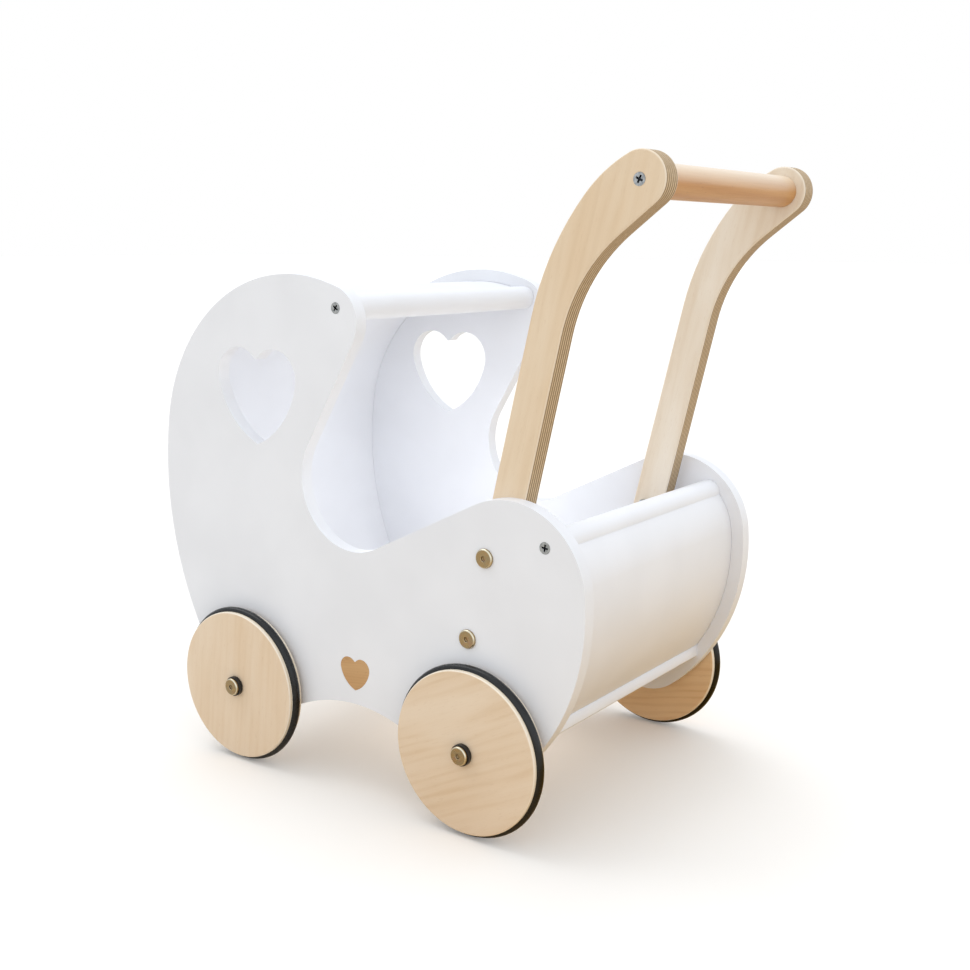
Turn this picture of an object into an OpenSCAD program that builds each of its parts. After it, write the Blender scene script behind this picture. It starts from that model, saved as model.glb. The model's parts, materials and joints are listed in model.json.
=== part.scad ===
// Wooden doll stroller: two painted side panels joined by a floor board, two rails and two bent shells,
// a push handle of two bare plywood arms and a round bar, and four disc wheels on furniture bolts.
// X runs from the hood end (-X) to the handle end (+X), Y across (the left side is -Y), Z up from the ground.
// A side view is drawn in (x, z): x from the middle of the wheelbase, z from the line through the axles.

/* [Body] */
// Clear width between the side panels
inner_w = 256; // [200:1:320]
// Distance between the front and rear axles
wheelbase = 254; // [230:1:310]
// Thickness of a side panel
panel_t = 12; // [9:0.5:18]
// Thickness of the floor board
floor_t = 12; // [9:0.5:18]
// Height of the floor board's top above the axle line
floor_top = 25; // [22:1:40]
// Thickness of the bent hood and foot shells
shell_t = 3; // [2:0.1:5]
// Distance of a shell's outer surface from the panel's edge
shell_inset = 11.5; // [8:0.5:14]
// Depth of the rebates in the floor board's ends that the shells stand in
shell_seat = 1; // [0.5:0.5:3]
// Depth of the grooves and sockets in the panels' inner faces
groove_depth = 4; // [3:0.5:6]

/* [Rails] */
// Diameter of the rail at the hood's mouth and at the foot end
rail_d = 22; // [18:0.5:26]
// Depth of the slot in a rail that takes the shell's edge
rail_slot = 3; // [2:0.5:5]

/* [Handle] */
// Thickness of a handle arm
arm_t = 18; // [12:0.5:22]
// Width of the straight lower part of an arm
arm_w = 30; // [26:1:36]
// Diameter of the round end that holds the handle bar
arm_head_d = 40; // [38:1:52]
// Height of the handle bar above the axle line
handle_h = 432; // [400:1:520]
// Diameter of the handle bar
handle_d = 25; // [20:0.5:30]
// Depth of the socket in an arm that takes the handle bar
handle_socket = 5; // [3:0.5:8]

/* [Wheels] */
// Diameter over the rubber tyre
wheel_d = 140; // [120:1:170]
// Thickness of the plywood disc
wheel_t = 15; // [12:0.5:20]
// Thickness of the round rubber tyre ring
tyre_d = 8; // [6:0.5:10]
// How far the tyre stands out of the disc's rim
tyre_proud = 3.5; // [2:0.25:4]
// Play along the axle on each side of a wheel
end_play = 0.3; // [0.2:0.1:1]

/* [Hardware] */
// Diameter of the furniture bolts' shanks
bolt_d = 6; // [5:0.5:7]
// Diameter of a bolt's flat head
bolt_head_d = 15.5; // [14:0.5:18]
// Thickness of a bolt's head
bolt_head_t = 2.5; // [2.5:0.5:4]
// Size across the flats of a bolt's hexagonal socket
bolt_socket = 4; // [3:0.5:5]
// Size across the flats of a cap nut
nut_w = 10; // [9:0.5:12]
// Outer diameter of the sleeve a wheel turns on
sleeve_d = 10; // [9:0.5:14]
// Diameter of the black washer under an axle bolt's head
washer_d = 17.5; // [17:0.5:22]
// Thickness of that washer
washer_t = 4; // [2:0.5:6]
// Thickness of the spacer between a wheel and its panel
spacer_t = 2; // [1.5:0.5:6]
// Diameter of the countersunk screws' shanks
screw_d = 4; // [3.5:0.5:5]
// Diameter of their heads
screw_head_d = 9.5; // [8:0.5:11]
// Length of the countersunk screws
screw_l = 50; // [35:5:60]
// Diameter of the floor board's dowel pins
dowel_d = 8; // [6:1:8]
// Length of the dowel pins
dowel_l = 30; // [24:2:40]

/* [Hearts] */
// Width of the heart-shaped window in each side panel
heart_w = 93; // [70:1:100]
// Width of the small wooden heart let into the left panel
inlay_w = 32; // [20:1:40]
// Thickness of that heart
inlay_t = 1.5; // [1:0.5:3]

/* [Hidden] */
$fn = 64;
// Radial gap of a piece that is fixed in its socket, and of a wheel that runs on its sleeve
fit_gap = 0.05;
run_gap = 0.08;
// Radial gap round a bolt or a screw that passes through
pass_gap = 0.2;
// Gap of a shell in its grooves and slots
shell_gap = 0.15;
// Largest angle between two points of a round stretch
arc_step = 3;
// Overlap of a cut beyond the face it opens
over = 1;
// Chamfer round a bolt's head
head_edge = 1;
// Width and depth of the cross recess in a screw's head, and how it is turned in each kind
slot_w = 1.4;
slot_depth = 1.6;
hood_screw_turn = 35;
foot_screw_turn = 8;
handle_screw_turn = 25;
// Clear distance from a wheel's tyre to the heads of the lower arm bolts
bolt_clear = 6;

axle_h = wheel_d / 2;
front_x = -wheelbase / 2;
rear_x = wheelbase / 2;
far = 2 * wheelbase;

// ---- Side-view outlines ----
// A belt runs anticlockwise round circles [x, z, radius]: one with a negative radius is passed on its far side.

// Centre, left of the line from a to b, at distance ra from a and rb from b
function meet(a, ra, b, rb) =
    let (dx = b[0] - a[0], dz = b[1] - a[1], d = norm([dx, dz]),
         along = (ra * ra - rb * rb + d * d) / (2 * d), off = sqrt(max(0, ra * ra - along * along)))
    [a[0] + (dx * along - dz * off) / d, a[1] + (dz * along + dx * off) / d];

// A large arc that blends circle a into circle b, both inside it
function blend(a, b, r) = concat(meet(a, r - a[2], b, r - b[2]), [r]);

// A larger arc round circle c that touches it in the given direction
function nest(c, r, angle) = [c[0] - (r - c[2]) * cos(angle), c[1] - (r - c[2]) * sin(angle), r];

// Heading of the straight run from circle a to circle b
function heading(a, b) =
    let (d = norm([b[0] - a[0], b[1] - a[1]]), s = (b[2] - a[2]) / d)
    atan2(b[1] - a[1], b[0] - a[0]) - asin(max(-1, min(1, s)));

// Angle in 0..360, where just under a full turn means none
function wrap(a) = let (m = ((a % 360) + 360) % 360) m > 350 ? 0 : m;
function sweep(r, h0, h1) = r > 0 ? wrap(h1 - h0) : -wrap(h0 - h1);

function arc_points(c, h0, turn) =
    let (n = max(1, ceil(abs(turn) / arc_step)))
    [for (i = [0:n]) let (h = h0 + turn * i / n) [c[0] + c[2] * sin(h), c[1] - c[2] * cos(h)]];

function distinct(p) = [for (i = [0:len(p) - 1]) if (norm(p[i] - p[(i + 1) % len(p)]) > 0.02) p[i]];

function belt(circles, inset = 0) =
    let (c = [for (k = circles) [k[0], k[1], k[2] - inset]], n = len(c),
         h = [for (i = [0:n - 1]) heading(c[i], c[(i + 1) % n])])
    distinct([for (i = [0:n - 1]) let (h0 = h[(i + n - 1) % n])
        each arc_points(c[i], h0, sweep(c[i][2], h0, h[i]))]);

// ---- Places in the side view ----
hood = [front_x + 60, 204.5, 159];
nose = [front_x + 104, 326, 30];
front_lobe = [front_x + 5, 16, 45];
rear_lobe = [rear_x + 3, 16, 45];
foot_top = [rear_x + 28, 132.5, 69];
saddle = [front_x + 126, 194.5, -56];
arch = [0, -136.6, -143];
hood_back = blend(hood, front_lobe, 296);
foot_back = blend(rear_lobe, foot_top, 182);
panel_circles = [hood, hood_back, front_lobe, arch, rear_lobe, foot_back, foot_top, saddle, nose];

hood_rail_at = [front_x + 111.7, 337.4];
foot_rail_at = [rear_x + 61.6, 170];
heart_at = [front_x + 18.6, 275];
inlay_at = [0, 38];
arm_bolts_at = [[rear_x - 8.5, max(87, axle_h + bolt_head_d / 2 + bolt_clear)], [rear_x + 7.5, 154]];
axles_at = [[front_x, 0], [rear_x, 0]];

arm_foot = [rear_x - 10, 72, arm_w / 2];
arm_head = [rear_x + 125, handle_h, arm_head_d / 2];
arm_crown = nest(arm_head, 105, 116);
arm_back = nest(arm_crown, 210, 140);
arm_bend = [rear_x + 188, handle_h - 137, -127];
arm_circles = [arm_foot, arm_bend, arm_head, arm_crown, arm_back];

// Distance in x from the middle of circle c, made smaller by inset, to its edge at height z
function reach(c, inset, z) = sqrt(pow(c[2] - inset, 2) - pow(z - c[1], 2));

// Ends of the floor board, flush with the shells' outer surfaces at its top, and of the rebates the shells stand in
shell_foot = floor_top - shell_seat;
floor_front = hood_back[0] - reach(hood_back, shell_inset, floor_top);
floor_rear = foot_back[0] + reach(foot_back, shell_inset, floor_top);
seat_front = hood_back[0] - reach(hood_back, shell_inset + shell_t, shell_foot) + shell_gap;
seat_rear = foot_back[0] + reach(foot_back, shell_inset + shell_t, shell_foot) - shell_gap;
dowels_x = [floor_front + 50, (floor_front + floor_rear) / 2, floor_rear - 50];
dowel_sink = panel_t * 2 / 3;

// The origin is under the middle of the whole length
shift_x = -(hood_back[0] - hood_back[2] + arm_head[0] + arm_head[2]) / 2;

// ---- Levels across, on the left side ----
panel_in = -inner_w / 2;
panel_out = panel_in - panel_t;
arm_in = panel_in + arm_t;
spacer_out = panel_out - spacer_t;
wheel_in = spacer_out - end_play;
wheel_out = wheel_in - wheel_t;
sleeve_out = wheel_out - end_play;
washer_out = sleeve_out - washer_t;

screw_sink = (screw_head_d - screw_d) / 2;
slot_l = 0.58 * screw_head_d;
nut_t = 0.55 * nut_w;
nut_dome_r = 0.47 * nut_w;
nut_bore = nut_t + 2;
bolt_in_nut = nut_t + 1;
tyre_ring_r = axle_h - tyre_d / 2;
disc_r = axle_h - tyre_proud;

// ---- Colours ----
module paint() color([0.93, 0.93, 0.94]) children();
module birch() color([0.87, 0.77, 0.63]) children();
module dowel_wood() color([0.85, 0.67, 0.47]) children();
module rubber() color([0.12, 0.12, 0.13]) children();
module yellow_zinc() color([0.72, 0.60, 0.36]) children();
module zinc() color([0.68, 0.69, 0.70]) children();
module nylon() color([0.90, 0.89, 0.85]) children();

// ---- Helpers ----
// A side-view shape drawn at its place, from y to y + t
module slab(y, t) translate([shift_x, y + t, axle_h]) rotate([90, 0, 0]) linear_extrude(t) children();

// A round bar across the stroller at side-view point p, from y to y + l
module rod(p, y, l, d) translate([0, y, 0]) at(p) cylinder(h = l, d = d);

// Puts a shape that is made along +Z across the stroller at side-view point p, pointing to +Y
module at(p) translate([shift_x + p[0], 0, axle_h + p[1]]) rotate([-90, 0, 0]) children();

// Makes the right-hand copy of a piece drawn on the left side
module right() mirror([0, 1, 0]) children();

module both() {
    children();
    right() children();
}

module ring(p, y, l, d, bore) difference() {
    rod(p, y, l, d);
    rod(p, y - over, l + 2 * over, bore);
}

// A heart of the given width, with its widest part at the origin
module heart(w) {
    lobe = 0.274 * w;
    side = 0.80 * w;
    tip = [0, -0.57 * w, 0.04 * w];
    lobe_l = [lobe - w / 2, 0, lobe];
    lobe_r = [w / 2 - lobe, 0, lobe];
    cleft_r = 0.03 * w;
    cleft = [0, sqrt(pow(lobe + cleft_r, 2) - pow(lobe_r[0], 2)), -cleft_r];
    polygon(belt([lobe_r, cleft, lobe_l, blend(lobe_l, tip, side), tip, blend(tip, lobe_r, side)]));
}

// ---- Shells in the side view ----
// A strip along the panel's edge, widened by gap on each side
module edge_strip(gap) difference() {
    polygon(belt(panel_circles, shell_inset - gap));
    polygon(belt(panel_circles, shell_inset + shell_t + gap));
}

module hood_profile(gap = 0) intersection() {
    edge_strip(gap);
    difference() {
        polygon([hood_rail_at, 2 * hood_rail_at - [hood[0], hood[1]], [front_x - far, far],
            [front_x - far, shell_foot - gap], [seat_front + over, shell_foot - gap]]);
        translate(hood_rail_at) circle(d = rail_d - 2 * (rail_slot + gap));
    }
}

module foot_profile(gap = 0) intersection() {
    edge_strip(gap);
    difference() {
        polygon([[rear_x, shell_foot - gap], [rear_x + far, shell_foot - gap],
            3 * foot_rail_at - 2 * [foot_top[0], foot_top[1]], [foot_top[0], foot_top[1]]]);
        translate(foot_rail_at) circle(d = rail_d - 2 * (rail_slot + gap));
    }
}

// ---- Body ----
module panel_cuts() {
    slab(panel_out - over, panel_t + 2 * over) translate(heart_at) heart(heart_w);
    slab(panel_in - groove_depth, groove_depth + over) hood_profile(shell_gap);
    slab(panel_in - groove_depth, groove_depth + over) foot_profile(shell_gap);
    for (p = [hood_rail_at, foot_rail_at]) {
        rod(p, panel_in - groove_depth, groove_depth + over, rail_d + 2 * fit_gap);
        screw_hole(p, panel_out, panel_t);
    }
    for (p = concat(arm_bolts_at, axles_at)) rod(p, panel_out - over, panel_t + 2 * over, bolt_d + 2 * pass_gap);
    for (x = dowels_x) rod([x, floor_top - floor_t / 2], panel_in - dowel_sink, dowel_sink + over,
        dowel_d + 2 * fit_gap);
}

module side_panel() difference() {
    slab(panel_out, panel_t) polygon(belt(panel_circles));
    panel_cuts();
}

module side_panel_left() paint() difference() {
    side_panel();
    slab(panel_out - over, inlay_t + over) translate(inlay_at) heart(inlay_w + 2 * fit_gap);
}

module side_panel_right() paint() right() side_panel();

module heart_inlay() birch() slab(panel_out, inlay_t) translate(inlay_at) heart(inlay_w);

module hood_shell() paint() slab(panel_in - groove_depth, inner_w + 2 * groove_depth) hood_profile();

module foot_shell() paint() slab(panel_in - groove_depth, inner_w + 2 * groove_depth) foot_profile();

module floor_board() paint() difference() {
    translate([shift_x + floor_front, panel_in, axle_h + floor_top - floor_t])
        cube([floor_rear - floor_front, inner_w, floor_t]);
    for (ends = [[floor_front - over, seat_front], [seat_rear, floor_rear + over]])
        translate([shift_x + ends[0], panel_in - over, axle_h + shell_foot])
            cube([ends[1] - ends[0], inner_w + 2 * over, shell_seat + over]);
    both() for (x = dowels_x)
        rod([x, floor_top - floor_t / 2], panel_in - over, dowel_l - dowel_sink + 2 * over, dowel_d + 2 * fit_gap);
}

module floor_dowels() dowel_wood() for (x = dowels_x)
    rod([x, floor_top - floor_t / 2], panel_in - dowel_sink, dowel_l, dowel_d);

module rail(p) difference() {
    rod(p, panel_in - groove_depth, inner_w + 2 * groove_depth, rail_d);
    both() rod(p, panel_in - groove_depth - over, screw_l + over, screw_d + 2 * fit_gap);
}

module hood_rail() paint() difference() {
    rail(hood_rail_at);
    slab(panel_in - groove_depth - over, inner_w + 2 * (groove_depth + over)) hood_profile(shell_gap);
}

module foot_rail() paint() difference() {
    rail(foot_rail_at);
    slab(panel_in - groove_depth - over, inner_w + 2 * (groove_depth + over)) foot_profile(shell_gap);
}

// ---- Handle ----
module handle_arm() birch() difference() {
    slab(panel_in, arm_t) polygon(belt(arm_circles));
    rod(arm_head, arm_in - handle_socket, handle_socket + over, handle_d + 2 * fit_gap);
    screw_hole(arm_head, panel_in, arm_t);
    for (p = arm_bolts_at) rod(p, panel_in - over, arm_t + 2 * over, bolt_d + 2 * pass_gap);
}

module handle_bar() dowel_wood() difference() {
    rod(arm_head, arm_in - handle_socket, inner_w - 2 * (arm_t - handle_socket), handle_d);
    both() rod(arm_head, arm_in - handle_socket - over, screw_l, screw_d + 2 * fit_gap);
}

// ---- Screws, bolts, nuts ----
// A countersunk hole into a face at y
module screw_hole(p, y, depth) {
    rod(p, y - over, depth + 2 * over, screw_d + 2 * pass_gap);
    translate([0, y, 0]) at(p) cylinder(h = screw_sink + pass_gap, d1 = screw_head_d + 2 * pass_gap, d2 = screw_d);
}

module screw(p, y, turn) zinc() translate([0, y, 0]) at(p) rotate([0, 0, turn]) difference() {
    union() {
        cylinder(h = screw_sink, d1 = screw_head_d, d2 = screw_d);
        cylinder(h = screw_l, d = screw_d);
    }
    for (blade = [0, 90]) rotate([0, 0, blade]) translate([-slot_l / 2, -slot_w / 2, -over])
        cube([slot_l, slot_w, over + slot_depth]);
}

// A furniture bolt whose head sits on a face at y, with a shank of length l
module bolt(p, y, l) yellow_zinc() translate([0, y, 0]) at(p) difference() {
    union() {
        translate([0, 0, -bolt_head_t]) cylinder(h = head_edge, d1 = bolt_head_d - 2 * head_edge, d2 = bolt_head_d);
        translate([0, 0, head_edge - bolt_head_t]) cylinder(h = bolt_head_t - head_edge, d = bolt_head_d);
        cylinder(h = l, d = bolt_d);
    }
    translate([0, 0, -bolt_head_t - over])
        cylinder(h = bolt_head_t - 0.5 + over, d = bolt_socket / cos(30), $fn = 6);
}

// A cap nut on a face at y
module cap_nut(p, y) zinc() translate([0, y, 0]) at(p) difference() {
    union() {
        cylinder(h = nut_t, d = nut_w / cos(30), $fn = 6);
        intersection() {
            translate([0, 0, nut_t]) sphere(r = nut_dome_r);
            translate([0, 0, nut_t / 2]) cylinder(h = nut_w, r = nut_dome_r);
        }
    }
    translate([0, 0, -over]) cylinder(h = nut_bore + over, d = bolt_d + 2 * fit_gap);
}

module arm_bolts() for (p = arm_bolts_at) bolt(p, panel_out, panel_t + arm_t + bolt_in_nut);

module arm_nuts() for (p = arm_bolts_at) cap_nut(p, arm_in);

module rail_screws(p, turn) both() screw(p, panel_out, turn);

module handle_screws() both() screw(arm_head, panel_in, handle_screw_turn);

// ---- Wheels ----
module wheel(p) birch() difference() {
    rod(p, wheel_out, wheel_t, 2 * disc_r);
    rod(p, wheel_out - over, wheel_t + 2 * over, sleeve_d + 2 * run_gap);
    translate([0, wheel_out + wheel_t / 2, 0]) at(p)
        rotate_extrude() translate([tyre_ring_r, 0]) circle(d = tyre_d + 2 * fit_gap);
}

module tyre(p) rubber() translate([0, wheel_out + wheel_t / 2, 0]) at(p)
    rotate_extrude() translate([tyre_ring_r, 0]) circle(d = tyre_d);

module sleeve(p) nylon() ring(p, sleeve_out, wheel_t + 2 * end_play, sleeve_d, bolt_d + 2 * pass_gap);

module axle_bolt(p) bolt(p, washer_out, panel_in - washer_out + bolt_in_nut);

module axle_nut(p) cap_nut(p, panel_in);

module washer(p) rubber() ring(p, washer_out, washer_t, washer_d, bolt_d + 2 * pass_gap);

module spacer(p) zinc() ring(p, spacer_out, spacer_t, washer_d, bolt_d + 2 * pass_gap);

front = axles_at[0];
rear = axles_at[1];

side_panel_left();
side_panel_right();
hood_shell();
foot_shell();
floor_board();
floor_dowels();  // floor_dowels_left
right() floor_dowels();  // floor_dowels_right
hood_rail();
foot_rail();
handle_arm();  // handle_arm_left
right() handle_arm();  // handle_arm_right
handle_bar();
rail_screws(hood_rail_at, hood_screw_turn);  // hood_rail_screws
rail_screws(foot_rail_at, foot_screw_turn);  // foot_rail_screws
handle_screws();
arm_bolts();  // arm_bolts_left
right() arm_bolts();  // arm_bolts_right
arm_nuts();  // arm_nuts_left
right() arm_nuts();  // arm_nuts_right
heart_inlay();
wheel(front);  // wheel_front_left
right() wheel(front);  // wheel_front_right
wheel(rear);  // wheel_rear_left
right() wheel(rear);  // wheel_rear_right
tyre(front);  // tyre_front_left
right() tyre(front);  // tyre_front_right
tyre(rear);  // tyre_rear_left
right() tyre(rear);  // tyre_rear_right
sleeve(front);  // sleeve_front_left
right() sleeve(front);  // sleeve_front_right
sleeve(rear);  // sleeve_rear_left
right() sleeve(rear);  // sleeve_rear_right
axle_bolt(front);  // axle_bolt_front_left
right() axle_bolt(front);  // axle_bolt_front_right
axle_bolt(rear);  // axle_bolt_rear_left
right() axle_bolt(rear);  // axle_bolt_rear_right
axle_nut(front);  // axle_nut_front_left
right() axle_nut(front);  // axle_nut_front_right
axle_nut(rear);  // axle_nut_rear_left
right() axle_nut(rear);  // axle_nut_rear_right
washer(front);  // washer_front_left
right() washer(front);  // washer_front_right
washer(rear);  // washer_rear_left
right() washer(rear);  // washer_rear_right
spacer(front);  // spacer_front_left
right() spacer(front);  // spacer_front_right
spacer(rear);  // spacer_rear_left
right() spacer(rear);  // spacer_rear_right
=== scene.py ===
import json
import math

import bmesh
import bpy
from mathutils import Matrix, Vector

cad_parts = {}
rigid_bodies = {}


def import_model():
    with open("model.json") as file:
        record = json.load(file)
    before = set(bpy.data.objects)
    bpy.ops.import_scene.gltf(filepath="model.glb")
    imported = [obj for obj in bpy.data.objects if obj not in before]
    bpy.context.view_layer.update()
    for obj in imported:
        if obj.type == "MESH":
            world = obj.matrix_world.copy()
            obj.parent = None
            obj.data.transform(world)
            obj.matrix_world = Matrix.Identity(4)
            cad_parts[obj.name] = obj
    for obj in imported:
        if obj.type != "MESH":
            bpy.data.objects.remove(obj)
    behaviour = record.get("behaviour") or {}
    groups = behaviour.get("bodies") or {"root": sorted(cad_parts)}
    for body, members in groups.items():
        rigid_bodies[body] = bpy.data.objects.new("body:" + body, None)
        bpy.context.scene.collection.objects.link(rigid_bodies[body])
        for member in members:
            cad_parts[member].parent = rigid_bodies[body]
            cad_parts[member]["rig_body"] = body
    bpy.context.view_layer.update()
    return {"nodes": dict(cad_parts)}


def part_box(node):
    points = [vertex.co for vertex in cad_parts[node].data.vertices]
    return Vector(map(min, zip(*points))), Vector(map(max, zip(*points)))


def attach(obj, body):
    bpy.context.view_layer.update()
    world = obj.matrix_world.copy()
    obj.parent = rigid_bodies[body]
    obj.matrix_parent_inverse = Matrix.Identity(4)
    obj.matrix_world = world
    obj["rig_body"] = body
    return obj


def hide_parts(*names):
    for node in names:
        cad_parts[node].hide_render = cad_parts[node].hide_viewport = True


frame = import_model()
cadNodes = frame["nodes"]
corners = ("front_left", "front_right", "rear_left", "rear_right")
print("frame loaded,", len(cadNodes), "nodes")


def linearColour(text):
    # sRGB hex to linear, with full alpha
    parts = [int(text[i:i + 2], 16) / 255 for i in (1, 3, 5)]
    return tuple(c / 12.92 if c <= 0.04045 else ((c + 0.055) / 1.055) ** 2.4 for c in parts) + (1.0,)


def addNode(tree, kind, settings, output=0):
    # lower-case keys are the node's own properties; the others are its sockets, which take a value, a hex colour
    # or another node's output. What comes back is the named output, or the first
    node = tree.nodes.new("ShaderNode" + kind)
    for key, value in settings.items():
        if isinstance(key, str) and key[0].islower():
            setattr(node, key, value)
        elif isinstance(value, bpy.types.NodeSocket):
            tree.links.new(value, node.inputs[key])
        else:
            node.inputs[key].default_value = linearColour(value) if isinstance(value, str) else value
    return node.outputs[output] if node.outputs else node


def newMaterial(name):
    material = bpy.data.materials.new(name)
    material.use_nodes = True
    material.node_tree.nodes.clear()
    return material, material.node_tree


def perPatch(size):
    # turns the length of one patch of a pattern along x, y and z, in mm, into its scale
    return tuple(1 / s for s in size)


mmScale = (1000, 1000, 1000)  # patterns are laid out in millimetres

paintSettings = {
    "tone": "#EEEFF3", "shade": "#EAEBEF", "relief": 0.12, "reliefDepth": 0.00006, "roughness": (0.36, 0.46),
    # slow tone changes 70 mm across, orange peel 1.6 mm from crest to crest, veneer grain 1.4 mm wide
    "patterns": {"clouds": {"size": (70, 70, 70), "detail": 2}, "peel": {"size": (1.6, 1.6, 1.6), "detail": 1},
                 "grain": {"size": (60, 8, 1.4), "detail": 3}},
}


def sprayedPaint(name, settings):
    # White water-based lacquer, sprayed on birch plywood: satin, with a faint orange peel and the veneer's
    # grain just showing through as fine relief
    material, tree = newMaterial(name)
    place = addNode(tree, "Mapping", {"Vector": addNode(tree, "TexCoord", {}, "Object"), "Scale": mmScale})
    noise = {}
    for pattern, form in settings["patterns"].items():
        laid = addNode(tree, "Mapping", {"Vector": place, "Scale": perPatch(form["size"])})
        noise[pattern] = addNode(tree, "TexNoise", {"Vector": laid, "Scale": 1, "Detail": form["detail"]})
    drift = addNode(tree, "MapRange", {"Value": noise["clouds"], "From Min": 0.35, "From Max": 0.65})
    colour = addNode(tree, "Mix", {"data_type": "RGBA", 0: drift, 6: settings["shade"], 7: settings["tone"]}, 2)
    height = addNode(tree, "Math", {"operation": "MULTIPLY_ADD", 0: noise["grain"], 1: 0.6, 2: noise["peel"]})
    bump = addNode(tree, "Bump", {"Height": height, "Strength": settings["relief"],
                                  "Distance": settings["reliefDepth"]})
    dry = addNode(tree, "Math", {"operation": "ADD", 0: noise["clouds"], 1: noise["grain"]})
    smoothest, roughest = settings["roughness"]
    roughness = addNode(tree, "MapRange", {"Value": dry, "From Min": 0.7, "From Max": 1.3,
                                           "To Min": smoothest, "To Max": roughest})
    shader = addNode(tree, "BsdfPrincipled", {"Base Color": colour, "Normal": bump, "Roughness": roughness,
                                              "IOR": 1.48, "Specular IOR Level": 0.4})
    addNode(tree, "OutputMaterial", {"Surface": shader})
    return material


plyPatterns = {  # mm along the grain, through the board and across the grain
    "broad": {"size": (140, 90, 26), "detail": 3, "roughness": 0.55},
    "fibres": {"size": (26, 5, 0.9), "detail": 4, "roughness": 0.6},
    "flecks": {"size": (6, 3, 0.9), "detail": 1, "roughness": 0.5},
    "streaks": {"size": (3.5, 0.5, 3.5), "detail": 3, "roughness": 0.5},
}


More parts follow.
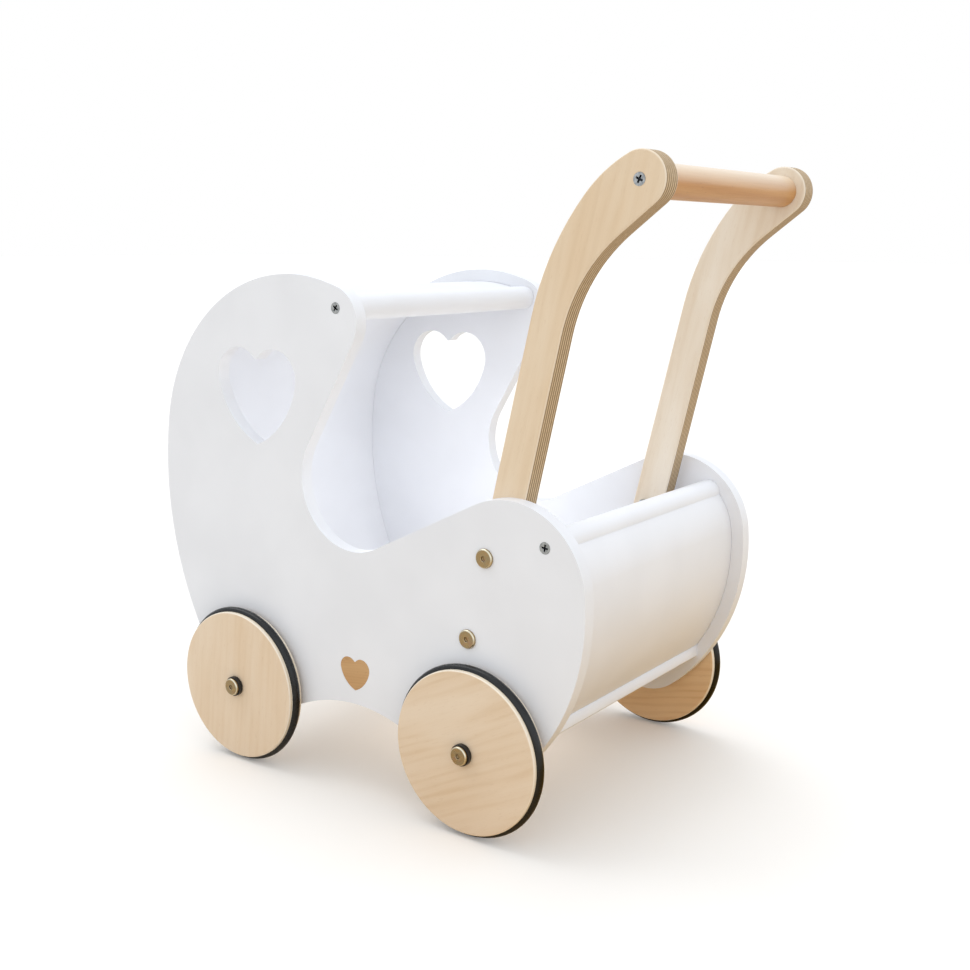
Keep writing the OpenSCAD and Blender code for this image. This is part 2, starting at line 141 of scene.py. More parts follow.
def birchPlywood(name, settings):
    # Birch plywood, rotary-cut face veneers under thin matt oil: pale, quiet figure with fine dark fibres.
    # Inside it each ply is turned a quarter, so a cut edge shows light long grain and brown end grain in turn
    material, tree = newMaterial(name)
    turn = math.radians(settings["grain"])
    place = addNode(tree, "Mapping", {"Vector": addNode(tree, "TexCoord", {}, "Object"), "Scale": mmScale,
                                      "Rotation": (0, turn, 0), "Location": (settings["shift"], 0, 0)})
    noise = {}
    for pattern, form in plyPatterns.items():
        laid = addNode(tree, "Mapping", {"Vector": place, "Scale": perPatch(form["size"])})
        noise[pattern] = addNode(tree, "TexNoise", {"Vector": laid, "Scale": 1, "Detail": form["detail"],
                                                    "Roughness": form["roughness"]})
    # growth lines, settings["bands"] mm apart and strongest where the broad noise is low
    laid = addNode(tree, "Mapping", {"Vector": place, "Scale": perPatch((190, 120, settings["bands"] * 2))})
    waves = addNode(tree, "TexWave", {"Vector": laid, "bands_direction": "Z", "Scale": 1, "Distortion": 7.0,
                                      "Detail": 2, "Detail Scale": 1.3, "Detail Roughness": 0.5}, "Fac")
    crests = addNode(tree, "MapRange", {"Value": waves, "From Min": 0.4, "From Max": 1.0})
    strong = addNode(tree, "MapRange", {"Value": noise["broad"], "From Min": 0.62, "From Max": 0.38})
    growth = addNode(tree, "Math", {"operation": "MULTIPLY", 0: crests, 1: strong})
    figure = addNode(tree, "Math", {"operation": "MULTIPLY", 0: growth, 1: settings["figure"]})
    drift = addNode(tree, "MapRange", {"Value": noise["broad"], "From Min": 0.32, "From Max": 0.68})
    fibre = addNode(tree, "MapRange", {"Value": noise["fibres"], "From Min": 0.5, "From Max": 0.8,
                                       "To Max": settings["fibres"]})
    fleck = addNode(tree, "MapRange", {"Value": noise["flecks"], "From Min": 0.66, "From Max": 0.74,
                                       "To Max": settings["flecks"]})
    facing = addNode(tree, "TexCoord", {}, "Normal")
    steep = addNode(tree, "Math", {"operation": "ABSOLUTE", 0: addNode(tree, "SeparateXYZ", {"Vector": facing}, "Y")})
    # painted highlight: the round-over is painted paler than the face, standing in for the light its curve catches
    sanded = addNode(tree, "MapRange", {"Value": steep, "From Min": 0.96, "From Max": 0.75,
                                        "To Max": settings["sanded"]})
    veneer = settings["warm"]
    for amount, tone in ((drift, "pale"), (figure, "line"), (fibre, "line"), (fleck, "fleck"), (sanded, "edge")):
        veneer = addNode(tree, "Mix", {"data_type": "RGBA", 0: amount, 6: veneer, 7: settings[tone]}, 2)

    # plies, counted from the middle of the board outwards
    count = settings["plies"]
    through = addNode(tree, "Math", {"operation": "SUBTRACT", 1: settings["middle"],
                                     0: addNode(tree, "SeparateXYZ", {"Vector": place}, "Y")})
    depth = addNode(tree, "Math", {"operation": "ABSOLUTE", 0: through})
    plies = addNode(tree, "Math", {"operation": "DIVIDE", 0: depth, 1: settings["thickness"] / count})
    counted = addNode(tree, "Math", {"operation": "MINIMUM", 0: plies, 1: count / 2 - 0.01})
    raised = addNode(tree, "Math", {"operation": "ADD", 0: counted, 1: 0.5})
    layer = addNode(tree, "Math", {"operation": "FLOOR", 0: raised})
    numbered = addNode(tree, "Math", {"operation": "ADD", 0: layer, 1: (count - 1) / 2})
    across = addNode(tree, "Math", {"operation": "MODULO", 0: numbered, 1: 2})
    # how far a cut looks along the fibres, in the long plies and in the turned ones
    ends = []
    for fibreWay in ((math.cos(turn), 0, math.sin(turn)), (-math.sin(turn), 0, math.cos(turn))):
        along = addNode(tree, "VectorMath", {"operation": "DOT_PRODUCT", 0: facing, 1: fibreWay}, "Value")
        ends.append(addNode(tree, "Math", {"operation": "MULTIPLY", 0: along, 1: along}))
    endGrain = addNode(tree, "Mix", {"data_type": "FLOAT", 0: across, 2: ends[0], 3: ends[1]})
    openEnds = addNode(tree, "Math", {"operation": "MULTIPLY", 0: endGrain, 1: 0.8})
    streaks = addNode(tree, "MapRange", {"Value": noise["streaks"], "From Min": 0.3, "From Max": 0.7})
    dark = addNode(tree, "Math", {"operation": "MULTIPLY_ADD", "use_clamp": True, 0: streaks, 1: 0.3, 2: openEnds})
    # a dark glue line 0.15 mm wide would be lost, so it is drawn 0.25 mm wide and soft
    inPly = addNode(tree, "Math", {"operation": "FRACT", 0: raised})
    offMiddle = addNode(tree, "Math", {"operation": "SUBTRACT", 0: inPly, 1: 0.5})
    toGlue = addNode(tree, "Math", {"operation": "ABSOLUTE", 0: offMiddle})
    glue = addNode(tree, "MapRange", {"Value": toGlue, "From Min": 0.36, "From Max": 0.5, "To Max": 0.55})
    faceLayer = addNode(tree, "MapRange", {"Value": counted, "From Min": count / 2 - 1.05,
                                           "From Max": count / 2 - 0.95})
    colour = settings["longPly"]
    for amount, tone in ((dark, settings["endPly"]), (glue, settings["glue"]), (faceLayer, veneer)):
        colour = addNode(tree, "Mix", {"data_type": "RGBA", 0: amount, 6: colour, 7: tone}, 2)

    pores = addNode(tree, "Math", {"operation": "MULTIPLY", 0: noise["flecks"], 1: 0.4})
    height = addNode(tree, "Math", {"operation": "SUBTRACT", 0: noise["fibres"], 1: pores})
    bump = addNode(tree, "Bump", {"Height": height, "Strength": 0.25, "Distance": 0.00008})
    roughness = addNode(tree, "MapRange", {"Value": noise["fibres"], "From Min": 0.3, "From Max": 0.7,
                                           "To Min": 0.5, "To Max": 0.62})
    shader = addNode(tree, "BsdfPrincipled", {"Base Color": colour, "Normal": bump, "Roughness": roughness,
                                              "IOR": 1.5, "Specular IOR Level": 0.35})
    addNode(tree, "OutputMaterial", {"Surface": shader})
    return material


dowelSettings = {
    # the pale upper-side tone is painted sheen
    "base": "#C1894C", "pale": "#CB965A", "line": "#A9763E", "fleck": "#96663A", "rubbed": "#EFDEC6", "ring": 4.2,
    # fibres 0.8 mm wide, ray flecks 4 x 0.6 mm, both along the dowel
    "patterns": {"fibres": {"size": (0.8, 38, 0.8), "detail": 4, "roughness": 0.6},
                 "flecks": {"size": (0.6, 4, 0.6), "detail": 1, "roughness": 0.5}},
}


def turnedBeech(name, settings):
    # Steamed beech dowel, turned and oiled: warm, straight lengthwise grain with short dark ray flecks
    material, tree = newMaterial(name)
    place = addNode(tree, "Mapping", {"Vector": addNode(tree, "TexCoord", {}, "Object"), "Scale": mmScale})
    # annual rings 4.2 mm apart, cut lengthwise
    laid = addNode(tree, "Mapping", {"Vector": place,
                                     "Scale": perPatch((settings["ring"] * 5, 400, settings["ring"] * 5))})
    rings = addNode(tree, "TexWave", {"Vector": laid, "bands_direction": "DIAGONAL", "Scale": 1,
                                      "Distortion": 2.5, "Detail": 2, "Detail Scale": 0.8}, "Fac")
    noise = {}
    for pattern, form in settings["patterns"].items():
        laid = addNode(tree, "Mapping", {"Vector": place, "Scale": perPatch(form["size"])})
        noise[pattern] = addNode(tree, "TexNoise", {"Vector": laid, "Scale": 1, "Detail": form["detail"],
                                                    "Roughness": form["roughness"]})
    fibre = addNode(tree, "MapRange", {"Value": noise["fibres"], "From Min": 0.45, "From Max": 0.75,
                                       "To Max": 0.3})
    fleck = addNode(tree, "MapRange", {"Value": noise["flecks"], "From Min": 0.66, "From Max": 0.75,
                                       "To Max": 0.35})
    # painted sheen: the upper side is painted paler by the surface's own direction, standing in for the sheen light
    # gives the top
    upwards = addNode(tree, "SeparateXYZ", {"Vector": addNode(tree, "TexCoord", {}, "Normal")}, "Z")
    rubbed = addNode(tree, "MapRange", {"Value": upwards, "From Min": -0.1, "From Max": 0.9, "To Max": 0.85})
    colour = settings["base"]
    for amount, tone in ((rings, "pale"), (fibre, "line"), (fleck, "fleck"), (rubbed, "rubbed")):
        colour = addNode(tree, "Mix", {"data_type": "RGBA", 0: amount, 6: colour, 7: settings[tone]}, 2)
    bump = addNode(tree, "Bump", {"Height": noise["fibres"], "Strength": 0.3, "Distance": 0.0001})
    roughness = addNode(tree, "MapRange", {"Value": noise["fibres"], "From Min": 0.3, "From Max": 0.7,
                                           "To Min": 0.3, "To Max": 0.42})
    shader = addNode(tree, "BsdfPrincipled", {"Base Color": colour, "Normal": bump, "Roughness": roughness,
                                              "IOR": 1.5, "Specular IOR Level": 0.5, "Coat Weight": 0.15,
                                              "Coat Roughness": 0.25})
    addNode(tree, "OutputMaterial", {"Surface": shader})
    return material


ringSettings = {"tone": "#0C0D0F", "wear": "#15171A", "grit": 0.7, "roughness": 0.27, "seamAt": 149.8}
washerSettings = {"tone": "#111214", "wear": "#1C1D1F", "grit": 0.6, "roughness": 0.34, "seamAt": None}


def mouldedBlack(name, settings):
    # Moulded black rubber or nylon: deep and even, with a matt skin, a little bloom and on a ring its mould seam
    material, tree = newMaterial(name)
    place = addNode(tree, "Mapping", {"Vector": addNode(tree, "TexCoord", {}, "Object"), "Scale": mmScale})
    laid = addNode(tree, "Mapping", {"Vector": place, "Scale": perPatch((14, 14, 14))})  # bloom 14 mm across
    bloom = addNode(tree, "TexNoise", {"Vector": laid, "Scale": 1, "Detail": 4})
    laid = addNode(tree, "Mapping", {"Vector": place, "Scale": perPatch((settings["grit"],) * 3)})
    height = addNode(tree, "TexNoise", {"Vector": laid, "Scale": 1, "Detail": 2})
    shade = addNode(tree, "MapRange", {"Value": bloom, "From Min": 0.4, "From Max": 0.7})
    if settings["seamAt"] is not None:
        across = addNode(tree, "SeparateXYZ", {"Vector": place}, "Y")
        outwards = addNode(tree, "Math", {"operation": "ABSOLUTE", 0: across})
        offSeam = addNode(tree, "Math", {"operation": "SUBTRACT", 0: outwards, 1: settings["seamAt"]})
        away = addNode(tree, "Math", {"operation": "ABSOLUTE", 0: offSeam})
        seam = addNode(tree, "MapRange", {"Value": away, "From Min": 0.5, "From Max": 0.2})  # flash 0.4 mm wide
        height = addNode(tree, "Math", {"operation": "MULTIPLY_ADD", 0: seam, 1: 2.0, 2: height})
        worn = addNode(tree, "Math", {"operation": "MULTIPLY", 0: seam, 1: 0.7})
        shade = addNode(tree, "Math", {"operation": "MAXIMUM", 0: shade, 1: worn})
    colour = addNode(tree, "Mix", {"data_type": "RGBA", 0: shade, 6: settings["tone"], 7: settings["wear"]}, 2)
    bump = addNode(tree, "Bump", {"Height": height, "Strength": 0.25, "Distance": 0.00008})
    roughness = addNode(tree, "MapRange", {"Value": bloom, "From Min": 0.3, "From Max": 0.7,
                                           "To Min": settings["roughness"] - 0.06,
                                           "To Max": settings["roughness"] + 0.08})
    shader = addNode(tree, "BsdfPrincipled", {"Base Color": colour, "Normal": bump, "Roughness": roughness,
                                              "IOR": 1.52, "Specular IOR Level": 0.42})
    addNode(tree, "OutputMaterial", {"Surface": shader})
    return material


# the bright tone is a painted highlight on the chamfers
yellowZincSettings = {"film": "#AC946C", "dull": "#A39273", "tint": "#B08A76", "bright": "#E9E2CC",
                      "patch": 5.0, "roughness": 0.26}
brightZincSettings = {"film": "#BCC0C2", "dull": "#9B9FA2", "tint": "#7E8285", "bright": "#D8DBDD",
                      "grease": "#393C41", "patch": 2.0, "roughness": 0.34}
screwFaces = {"rail": 140, "handle": 128}  # where the screws' faces lie, in mm from the middle


def platedSteel(name, settings, faceAt=None):
    # Zinc-plated steel with its passivation film: patches of slightly different hue over a fine satin metal, a
    # painted highlight on every chamfer, and painted shade in a screw's cross recess
    material, tree = newMaterial(name)
    place = addNode(tree, "Mapping", {"Vector": addNode(tree, "TexCoord", {}, "Object"), "Scale": mmScale})
    patch = settings["patch"]
    laid = addNode(tree, "Mapping", {"Vector": place, "Scale": perPatch((patch,) * 3)})
    film = addNode(tree, "TexNoise", {"Vector": laid, "Scale": 1, "Detail": 3, "Distortion": 0.6})
    laid = addNode(tree, "Mapping", {"Vector": place, "Scale": perPatch((patch * 0.6,) * 3)})
    tint = addNode(tree, "TexNoise", {"Vector": laid, "Scale": 1, "Detail": 3})
    laid = addNode(tree, "Mapping", {"Vector": place, "Scale": perPatch((0.5, 0.5, 0.5))})  # satin grit 0.5 mm
    satin = addNode(tree, "TexNoise", {"Vector": laid, "Scale": 1, "Detail": 2})
    dulled = addNode(tree, "MapRange", {"Value": film, "From Min": 0.4, "From Max": 0.6})
    tinted = addNode(tree, "MapRange", {"Value": tint, "From Min": 0.54, "From Max": 0.7, "To Max": 0.6})
    facing = addNode(tree, "SeparateXYZ", {"Vector": addNode(tree, "TexCoord", {}, "Normal")}, "Y")
    slope = addNode(tree, "Math", {"operation": "ABSOLUTE", 0: facing})
    leaning = addNode(tree, "MapRange", {"Value": slope, "From Min": 0.4, "From Max": 0.6})
    notFlat = addNode(tree, "MapRange", {"Value": slope, "From Min": 0.97, "From Max": 0.85})
    chamfer = addNode(tree, "Math", {"operation": "MULTIPLY", 0: leaning, 1: notFlat})
    # painted highlight: the chamfers are painted towards the bright tone
    paintedChamferHighlight = addNode(tree, "Math", {"operation": "MULTIPLY", 0: chamfer, 1: 0.8})
    layers = [(dulled, "dull"), (tinted, "tint"), (paintedChamferHighlight, "bright")]
    # painted shade: from 0.15 to 0.5 mm below a screw's face its cross recess is painted dark
    if faceAt is not None:
        across = addNode(tree, "SeparateXYZ", {"Vector": place}, "Y")
        outwards = addNode(tree, "Math", {"operation": "ABSOLUTE", 0: across})
        depth = addNode(tree, "Math", {"operation": "SUBTRACT", 0: faceAt, 1: outwards})
        layers.append((addNode(tree, "MapRange", {"Value": depth, "From Min": 0.15, "From Max": 0.5}), "grease"))
    colour = settings["film"]
    for amount, tone in layers:
        colour = addNode(tree, "Mix", {"data_type": "RGBA", 0: amount, 6: colour, 7: settings[tone]}, 2)
    bump = addNode(tree, "Bump", {"Height": satin, "Strength": 0.15, "Distance": 0.00005})
    roughness = addNode(tree, "MapRange", {"Value": film, "From Min": 0.3, "From Max": 0.7,
                                           "To Min": settings["roughness"] - 0.05,
                                           "To Max": settings["roughness"] + 0.09})
    shader = addNode(tree, "BsdfPrincipled", {"Base Color": colour, "Normal": bump, "Roughness": roughness,
                                              "Metallic": 1.0})
    addNode(tree, "OutputMaterial", {"Surface": shader})
    return material


nylonSettings = {"milk": "#E6E3DA", "cloud": "#D8D4C8", "cloudSize": (5, 5, 5), "toolRing": (9, 2.2, 9)}


def turnedNylon(name, settings):
    # Natural nylon, turned: milky off-white with fine tool rings along the sleeve
    material, tree = newMaterial(name)
    place = addNode(tree, "Mapping", {"Vector": addNode(tree, "TexCoord", {}, "Object"), "Scale": mmScale})
    laid = addNode(tree, "Mapping", {"Vector": place, "Scale": perPatch(settings["cloudSize"])})
    clouds = addNode(tree, "TexNoise", {"Vector": laid, "Scale": 1, "Detail": 2})
    colour = addNode(tree, "Mix", {"data_type": "RGBA", 0: clouds, 6: settings["milk"], 7: settings["cloud"]}, 2)
    laid = addNode(tree, "Mapping", {"Vector": place, "Scale": perPatch(settings["toolRing"])})
    rings = addNode(tree, "TexWave", {"Vector": laid, "bands_direction": "Y", "Scale": 1}, "Fac")
    bump = addNode(tree, "Bump", {"Height": rings, "Strength": 0.2, "Distance": 0.00005})
    shader = addNode(tree, "BsdfPrincipled", {"Base Color": colour, "Normal": bump, "IOR": 1.53,
                                              "Roughness": 0.42, "Subsurface Weight": 0.1,
                                              "Subsurface Radius": (0.004, 0.004, 0.003), "Subsurface Scale": 1.0})
    addNode(tree, "OutputMaterial", {"Surface": shader})
    return material


whitePaint = sprayedPaint("sprayedWhiteLacquer", paintSettings)
beech = turnedBeech("oiledBeechDowel", dowelSettings)
ringRubber = mouldedBlack("mouldedRubberRing", ringSettings)
washerNylon = mouldedBlack("mouldedBlackWasher", washerSettings)
yellowZinc = platedSteel("yellowZincSteel", yellowZincSettings)
brightZinc = platedSteel("brightZincSteel", brightZincSettings)
railScrewZinc = platedSteel("brightZincRailScrews", brightZincSettings, screwFaces["rail"])
handleScrewZinc = platedSteel("brightZincHandleScrews", brightZincSettings, screwFaces["handle"])
nylonSleeve = turnedNylon("turnedNylonSleeve", nylonSettings)
print("shared finishes made")

samePlace = 1e-5  # metres; points closer than this lie on one plane
mergeWithin = 2e-6


def mergedCopy(nodeName):
    # a CAD node's triangles, merged and with the flat ones joined
    bm = bmesh.new()
    bm.from_mesh(cadNodes[nodeName].data)
    bmesh.ops.remove_doubles(bm, verts=bm.verts, dist=mergeWithin)
    bmesh.ops.dissolve_limit(bm, angle_limit=math.radians(0.4), verts=bm.verts, edges=bm.edges)
    return bm


def sharpEdges(bm, above):
    limit = math.radians(above)
    return [e for e in bm.edges if len(e.link_faces) == 2 and e.calc_face_angle(0) > limit]


def joinedRuns(edges):
    # groups of edges that touch one another
    left, runs = set(edges), []
    while left:
        run, todo = set(), [left.pop()]
        while todo:
            edge = todo.pop()
            run.add(edge)
            for other in [o for vert in edge.verts for o in vert.link_edges if o in left]:
                if other in left:
                    left.discard(other)
                    todo.append(other)
        runs.append(run)
    return runs


def reachOf(run):
    points = [v.co for e in run for v in e.verts]
    return max(max(p[i] for p in points) - min(p[i] for p in points) for i in (0, 2))


def rimEdges(bm, longerThan):
    # edges round the outline and windows of a board, on its two broad faces
    faces = (min(v.co.y for v in bm.verts), max(v.co.y for v in bm.verts))
    rim = [e for e in sharpEdges(bm, 50) if any(all(abs(v.co.y - y) < samePlace for v in e.verts) for y in faces)]
    return [e for run in joinedRuns(rim) if reachOf(run) > longerThan for e in run]


def roundOver(bm, edges, width, segments):
    # width is in mm
    bmesh.ops.bevel(bm, geom=edges, offset=width / 1000, offset_type="OFFSET", affect="EDGES",
                    segments=segments, profile=0.5, material=-1, clamp_overlap=True)


def finishPiece(bm, name, body, material, nodeName):
    mesh = bpy.data.meshes.new(name)
    bm.to_mesh(mesh)
    bm.free()
    for face in mesh.polygons:
        face.use_smooth = True
    mesh.set_sharp_from_angle(angle=math.radians(32))
    mesh.materials.append(material)
    piece = bpy.data.objects.new(name, mesh)
    bpy.context.scene.collection.objects.link(piece)
    piece.modifiers.new("flatFacesStayFlat", "WEIGHTED_NORMAL").keep_sharp = True
    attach(piece, body)
    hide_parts(nodeName)


def joinedWords(nodeName):
    first, *others = nodeName.split("_")
    return first + "".join(word.capitalize() for word in others)


panelSettings = {"round": 2.4, "segments": 5, "longerThan": 0.05}
for side in ("left", "right"):
    bm = mergedCopy("side_panel_" + side)
    roundOver(bm, rimEdges(bm, panelSettings["longerThan"]), panelSettings["round"], panelSettings["segments"])
    finishPiece(bm, "sidePanel" + side.capitalize(), "frame", whitePaint, "side_panel_" + side)
print("side panels rounded over")

boardSettings = {"round": 1.6, "segments": 3, "below": 0.09}
bm = mergedCopy("floor_board")
boardEnds = (min(v.co.x for v in bm.verts), max(v.co.x for v in bm.verts))
endEdges = [e for e in sharpEdges(bm, 30)
            if any(all(abs(v.co.x - x) < samePlace for v in e.verts) for x in boardEnds)
            and abs(e.verts[0].co.z - e.verts[1].co.z) < samePlace and e.verts[0].co.z < boardSettings["below"]]
roundOver(bm, endEdges, boardSettings["round"], boardSettings["segments"])
finishPiece(bm, "floorBoard", "frame", whitePaint, "floor_board")

for nodeName in ("hood_shell", "foot_shell", "hood_rail", "foot_rail"):
    finishPiece(mergedCopy(nodeName), joinedWords(nodeName), "frame", whitePaint, nodeName)
print("shells, rails and floor board made")

armShape = {"round": 1.5, "segments": 4, "longerThan": 0.05}
armTones = {"thickness": 18.0, "plies": 13, "bands": 14.0, "fleck": "#C6A680", "figure": 0.2, "fibres": 0.15,
            "flecks": 0.15, "longPly": "#E0C8A2", "endPly": "#8A6C4A", "glue": "#3E2C1E", "edge": "#F0E4D2",
            "sanded": 0.5}
armLooks = {
    "left": {"grain": 76, "shift": 35.0, "middle": -119.0, "warm": "#E3CAAA", "pale": "#E9D5BA", "line": "#D3B792"},
    "right": {"grain": 77, "shift": 410.0, "middle": 119.0, "warm": "#E4D3BC", "pale": "#ECE0CF", "line": "#D3BB9C"},
}
for side, looks in armLooks.items():
    bm = mergedCopy("handle_arm_" + side)
    roundOver(bm, rimEdges(bm, armShape["longerThan"]), armShape["round"], armShape["segments"])
    finishPiece(bm, "handleArm" + side.capitalize(), "frame",
                birchPlywood("birchPlyArm" + side.capitalize(), {**armTones, **looks}), "handle_arm_" + side)
finishPiece(mergedCopy("handle_bar"), "handleBar", "frame", beech, "handle_bar")
print("handle made")

inlaySettings = {"grain": 8, "shift": 77.0, "middle": -133.0, "thickness": 14.0, "plies": 5, "bands": 4.0,
                 "warm": "#BF9260", "pale": "#D0A878", "line": "#9C6F40", "fleck": "#8A5F35", "figure": 0.2,
                 "fibres": 0.2, "flecks": 0.3, "longPly": "#C59A68", "endPly": "#9C7446", "glue": "#5E432A",
                 "edge": "#C59A68", "sanded": 0.2, "round": 0.25, "segments": 2, "longerThan": 0.01,
                 "faceAt": -0.1399}
bm = mergedCopy("heart_inlay")
outerRim = [e for e in rimEdges(bm, inlaySettings["longerThan"]) if e.verts[0].co.y < inlaySettings["faceAt"]]
roundOver(bm, outerRim, inlaySettings["round"], inlaySettings["segments"])
finishPiece(bm, "heartInlay", "frame", birchPlywood("birchInlay", inlaySettings), "heart_inlay")

wheelShape = {"rimRound": 1.3, "rimSegments": 4, "boreChamfer": 0.5, "boreGap": 0.08, "grooveGap": 0.05,
              "grooveSteps": 16, "tyreSteps": 24, "steps": 144}
# painted light: the discs' plies are painted paler than the arms', against the shade between rim and tyre
discTones = {"thickness": 15.0, "plies": 11, "bands": 12.0, "warm": "#E3CAAC", "pale": "#EAD6BD",
             "line": "#D3B48B", "fleck": "#BF9A70", "longPly": "#FAF1E1", "endPly": "#E8D8BD", "glue": "#B89B74",
             "edge": "#F6EBDA", "sanded": 0.9}
discLooks = {
    "front_left": {"grain": 84, "shift": 260.0, "figure": 0.15, "fibres": 0.14, "flecks": 0.15},
    "front_right": {"grain": -32, "shift": 530.0, "figure": 0.5, "fibres": 0.2, "flecks": 0.2},
    "rear_left": {"grain": 27, "shift": 120.0, "figure": 0.38, "fibres": 0.13, "flecks": 0.12},
    # painted warm shade: the rear right disc's warmer veneer stands in for the warm bounce light and shade around it
    "rear_right": {"grain": 12, "shift": 790.0, "figure": 0.5, "fibres": 0.15, "flecks": 0.15,
                   "warm": "#EBC79C", "pale": "#F0D2AA", "line": "#D8B080"},
}


def spunRing(profile, centre):
    # a closed outline of (distance from axle, place along axle) turned once round the axle
    bm = bmesh.new()
    verts = [bm.verts.new((centre.x + r, centre.y + y, centre.z)) for r, y in profile]
    edges = [bm.edges.new((verts[i], verts[(i + 1) % len(verts)])) for i in range(len(verts))]
    bmesh.ops.spin(bm, geom=verts + edges, cent=centre, axis=(0, 1, 0), angle=2 * math.pi,
                   steps=wheelShape["steps"], use_merge=True)
    bmesh.ops.remove_doubles(bm, verts=bm.verts, dist=1e-6)
    bmesh.ops.recalc_face_normals(bm, faces=bm.faces)
    return bm


for corner in corners:
    words = "".join(word.capitalize() for word in corner.split("_"))
    lowest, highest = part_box("wheel_" + corner)
    centre = (lowest + highest) / 2
    half = (highest.y - lowest.y) / 2
    rimRadius = (highest.x - lowest.x) / 2
    tyreLow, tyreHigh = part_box("tyre_" + corner)
    tyreRadius = (tyreHigh.y - tyreLow.y) / 2
    ringRadius = (tyreHigh.x - tyreLow.x) / 2 - tyreRadius
    sleeveLow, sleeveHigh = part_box("sleeve_" + corner)
    bore = (sleeveHigh.x - sleeveLow.x) / 2 + wheelShape["boreGap"] / 1000
    grooveRadius = tyreRadius + wheelShape["grooveGap"] / 1000
    mouth = math.acos((rimRadius - ringRadius) / grooveRadius)
    steps = wheelShape["grooveSteps"]
    groove = [(ringRadius + grooveRadius * math.cos(a), grooveRadius * math.sin(a))
              for a in [-mouth - (2 * math.pi - 2 * mouth) * i / steps for i in range(steps + 1)]]
    bm = spunRing([(bore, -half), (rimRadius, -half)] + groove + [(rimRadius, half), (bore, half)], centre)
    onFaces = [e for e in sharpEdges(bm, 50)
               if all(abs(abs(v.co.y - centre.y) - half) < samePlace for v in e.verts)]
    rim = [e for e in onFaces if (e.verts[0].co - centre).length > rimRadius * 0.9]
    hole = [e for e in onFaces if (e.verts[0].co - centre).length < rimRadius * 0.5]
    roundOver(bm, hole, wheelShape["boreChamfer"], 1)
    roundOver(bm, [e for e in rim if e.is_valid], wheelShape["rimRound"], wheelShape["rimSegments"])
    looks = {**discTones, **discLooks[corner], "middle": centre.y * 1000}
    finishPiece(bm, "wheelDisc" + words, cadNodes["wheel_" + corner]["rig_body"],
                birchPlywood("birchPlyDisc" + words, looks), "wheel_" + corner)

    steps = wheelShape["tyreSteps"]
    section = [(ringRadius + tyreRadius * math.cos(a), tyreRadius * math.sin(a))
               for a in [2 * math.pi * i / steps for i in range(steps)]]
    finishPiece(spunRing(section, centre), "tyre" + words, cadNodes["tyre_" + corner]["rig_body"],
                ringRubber, "tyre_" + corner)
print("wheels and tyres turned")

# worn edges: width in mm and number of segments
boltEdge, washerEdge, spacerEdge, screwEdge = (0.25, 2), (0.5, 3), (0.2, 1), (0.12, 1)
hardware = {}
for corner in corners:
    hardware["axle_bolt_" + corner] = (boltEdge, "yellow_zinc", yellowZinc)
    hardware["washer_" + corner] = (washerEdge, "black_washer", washerNylon)
    hardware["spacer_" + corner] = (spacerEdge, "bright_zinc", brightZinc)
for side in ("left", "right"):
    hardware["arm_bolts_" + side] = (boltEdge, "yellow_zinc", yellowZinc)
hardware["hood_rail_screws"] = (screwEdge, "bright_zinc", railScrewZinc)
hardware["foot_rail_screws"] = (screwEdge, "bright_zinc", railScrewZinc)
hardware["handle_screws"] = (screwEdge, "bright_zinc", handleScrewZinc)
for nodeName, ((width, segments), slotName, material) in hardware.items():
    bm = mergedCopy(nodeName)
    roundOver(bm, sharpEdges(bm, 35), width, segments)
    finishPiece(bm, joinedWords(nodeName), cadNodes[nodeName]["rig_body"], material, nodeName)

nodeFinishes = {"arm_nuts_": brightZinc, "axle_nut_": brightZinc, "sleeve_": nylonSleeve, "floor_dowels_": beech}
for nodeName, node in cadNodes.items():
    for start, material in nodeFinishes.items():
        if nodeName.startswith(start):
            for i in range(len(node.data.materials)):
                node.data.materials[i] = material
print("hardware made")

cameraView = {"place": (0.65346, -0.88213, 0.45951), "yaw": 36.10, "pitch": 11.01, "roll": 0.32, "lens": 46.23}
cameraData = bpy.data.cameras.new("camera")
cameraData.lens = cameraView["lens"]
cameraData.sensor_width = 36
cameraData.clip_start = 0.01
camera = bpy.data.objects.new("camera", cameraData)
camera.matrix_world = (Matrix.Translation(cameraView["place"])
                       @ Matrix.Rotation(math.radians(cameraView["yaw"]), 4, "Z")
                       @ Matrix.Rotation(math.radians(90 - cameraView["pitch"]), 4, "X")
                       @ Matrix.Rotation(math.radians(cameraView["roll"]), 4, "Z"))
bpy.context.scene.collection.objects.link(camera)
bpy.context.scene.camera = camera

studio = {"paper": "#EEEAE5", "lift": 0.1, "thrown": "#D6CEC2", "warmThrown": "#BE9232", "warmAt": (340, 60, 0),
          "warmReach": (580, 180), "horizon": (1.19, 1.24, 1.3), "zenith": (1.02, 1.06, 1.1), "hoodSide": 0.62}
floorMesh = bpy.data.meshes.new("floor")
bm = bmesh.new()
bmesh.ops.create_grid(bm, x_segments=1, y_segments=1, size=30)
bm.to_mesh(floorMesh)
bm.free()
floor = bpy.data.objects.new("floor", floorMesh)
bpy.context.scene.collection.objects.link(floor)
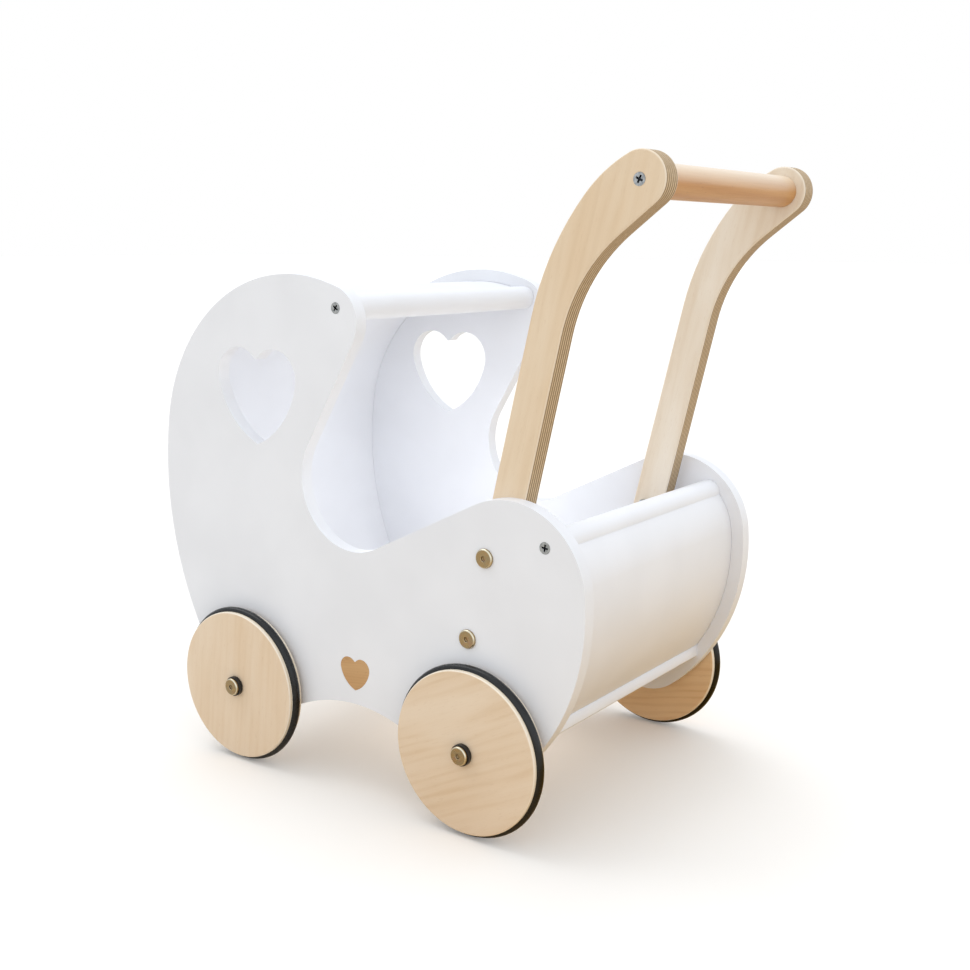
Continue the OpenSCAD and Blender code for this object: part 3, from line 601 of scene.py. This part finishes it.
# the floor and the backdrop are lit to white, but throw less light back at the object: warm beside its foot end. Seen
# by the camera the floor also glows a little, painted light that lifts its shadows
paper, tree = newMaterial("paleStudioFloor")
place = addNode(tree, "Mapping", {"Vector": addNode(tree, "TexCoord", {}, "Object"), "Scale": mmScale})
away = addNode(tree, "VectorMath", {"operation": "DISTANCE", 0: place, 1: studio["warmAt"]}, "Value")
coolFrom, warmFrom = studio["warmReach"]
warmth = addNode(tree, "MapRange", {"Value": away, "From Min": coolFrom, "From Max": warmFrom})
thrownColour = addNode(tree, "Mix", {"data_type": "RGBA", 0: warmth, 6: studio["thrown"],
                                     7: studio["warmThrown"]}, 2)
thrown = addNode(tree, "BsdfDiffuse", {"Color": thrownColour})
seen = addNode(tree, "BsdfPrincipled", {"Base Color": studio["paper"], "Roughness": 0.9, "Specular IOR Level": 0.1,
                                        "Emission Strength": studio["lift"], "Emission Color": "#FFFFFF"})
toCamera = addNode(tree, "LightPath", {}, "Is Camera Ray")
addNode(tree, "OutputMaterial", {"Surface": addNode(tree, "MixShader", {0: toCamera, 1: thrown, 2: seen})})
floorMesh.materials.append(paper)

world = bpy.data.worlds.new("studio")
bpy.context.scene.world = world
world.use_nodes = True
sky = world.node_tree
sky.nodes.clear()
heading = addNode(sky, "TexCoord", {}, "Generated")
height = addNode(sky, "SeparateXYZ", {"Vector": heading}, "Z")
alongObject = addNode(sky, "SeparateXYZ", {"Vector": heading}, "X")
rise = addNode(sky, "MapRange", {"Value": height, "From Min": 0.0, "From Max": 0.9})
skyColour = addNode(sky, "Mix", {"data_type": "RGBA", 0: rise, 6: (*studio["horizon"], 1),
                                 7: (*studio["zenith"], 1)}, 2)
strength = addNode(sky, "MapRange", {"Value": alongObject, "From Min": -1, "From Max": 0,
                                     "To Min": studio["hoodSide"]})
room = addNode(sky, "Background", {"Color": skyColour, "Strength": strength})
backdrop = addNode(sky, "Background", {"Color": "#FFFFFF", "Strength": 1.0})
toCamera = addNode(sky, "LightPath", {}, "Is Camera Ray")
addNode(sky, "OutputWorld", {"Surface": addNode(sky, "MixShader", {0: toCamera, 1: room, 2: backdrop})})

lamps = {
    "window": {"kind": "SUN", "from": (-1.0, 0.15, 1.7), "aim": (0, 0, 0), "power": 0.95, "size": 0.9,
               "colour": (1, 1, 1)},
    "underneath": {"kind": "AREA", "from": (-0.02, -0.02, 0.078), "aim": (-0.02, -0.03, 0.0), "power": 0.09,
                   "size": 0.2, "colour": (1, 0.95, 0.9)},
    "cradle": {"kind": "POINT", "from": (-0.05, 0.0, 0.22), "aim": (0, 0, 0), "power": 0.38, "size": 0.1,
               "colour": (1, 1, 0.98)},
}
sizeSetting = {"SUN": "angle", "AREA": "size", "POINT": "shadow_soft_size"}
for lampName, lamp in lamps.items():
    lampData = bpy.data.lights.new(lampName, lamp["kind"])
    setattr(lampData, sizeSetting[lamp["kind"]], lamp["size"])
    lampData.energy = lamp["power"]
    lampData.color = lamp["colour"]
    lampObject = bpy.data.objects.new(lampName, lampData)
    lampObject.location = lamp["from"]
    lampObject.rotation_euler = (Vector(lamp["aim"]) - Vector(lamp["from"])).to_track_quat("-Z", "Y").to_euler()
    lampObject.visible_camera = False
    bpy.context.scene.collection.objects.link(lampObject)
bpy.context.scene.view_settings.view_transform = "Standard"
print("camera, floor and light set")
